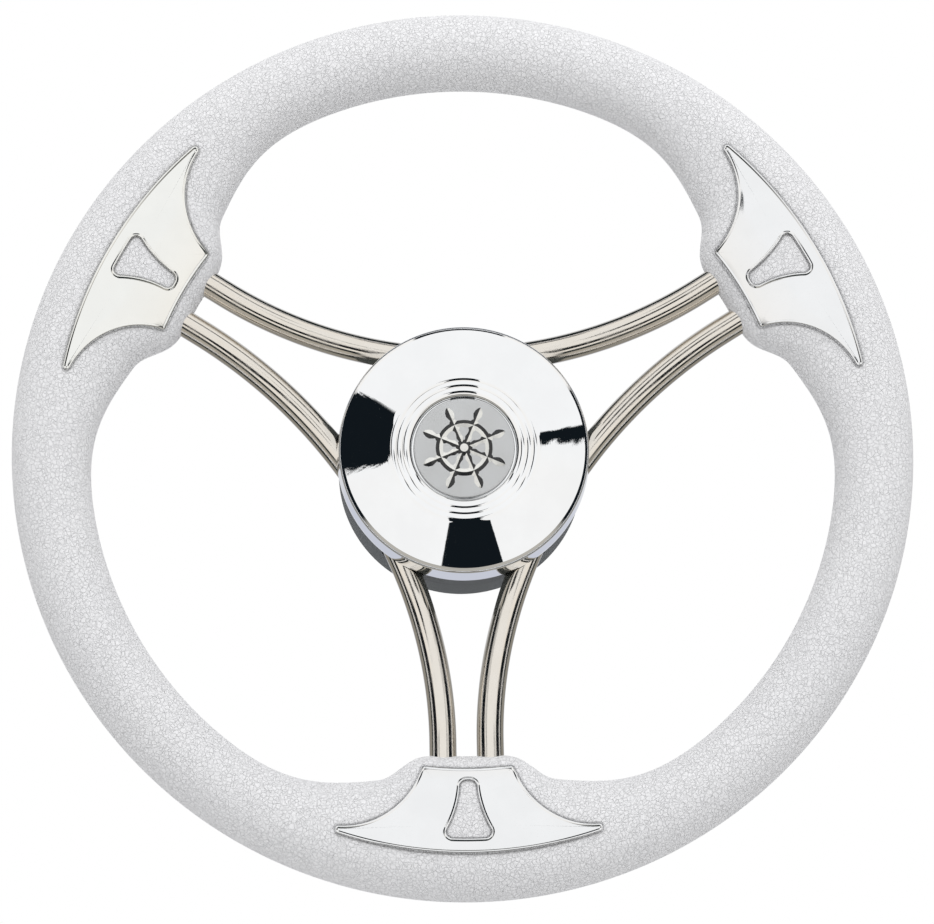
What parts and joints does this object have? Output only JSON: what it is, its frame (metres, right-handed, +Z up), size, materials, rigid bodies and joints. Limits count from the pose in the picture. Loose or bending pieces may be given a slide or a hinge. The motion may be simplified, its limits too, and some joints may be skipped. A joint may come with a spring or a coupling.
{
  "type": "boat steering wheel",
  "caption": "Marine steering wheel: white moulded rim with chromed trim plates, twin bent tube spokes, dished hub with tapered bore and chromed cap.",
  "frame": {"origin": "centre of the bore at the hub's back face, where the helm shaft enters", "axes": "+Z up with the bottom spoke pair pointing down, +X to the right of someone facing the wheel, +Y out of the back along the bore; the wheel's face looks towards -Y"},
  "size_m": [0.35, 0.0658, 0.35],
  "materials": {
    "grip": "white moulded polyurethane with fine leather grain",
    "stainless": "polished stainless tube with fine brush lines",
    "chrome": "mirror chrome plating",
    "charcoal": "fine-textured charcoal moulding",
    "steel": "turned and zinc-plated steel",
    "silver": "satin silver disc"
  },
  "bodies": {
    "root": {"rim_core": "steel", "rim_grip": "grip", "spoke_tube_top": "stainless", "spoke_tube_left": "stainless", "spoke_tube_right": "stainless", "trim_left": "chrome", "trim_right": "chrome", "trim_bottom": "chrome", "hub_boss": "steel", "hub_plate": "steel", "hub_base": "charcoal", "base_screws": "steel", "hub_cap": "chrome", "emblem_disc": "silver"}
  },
  "joints": []
}
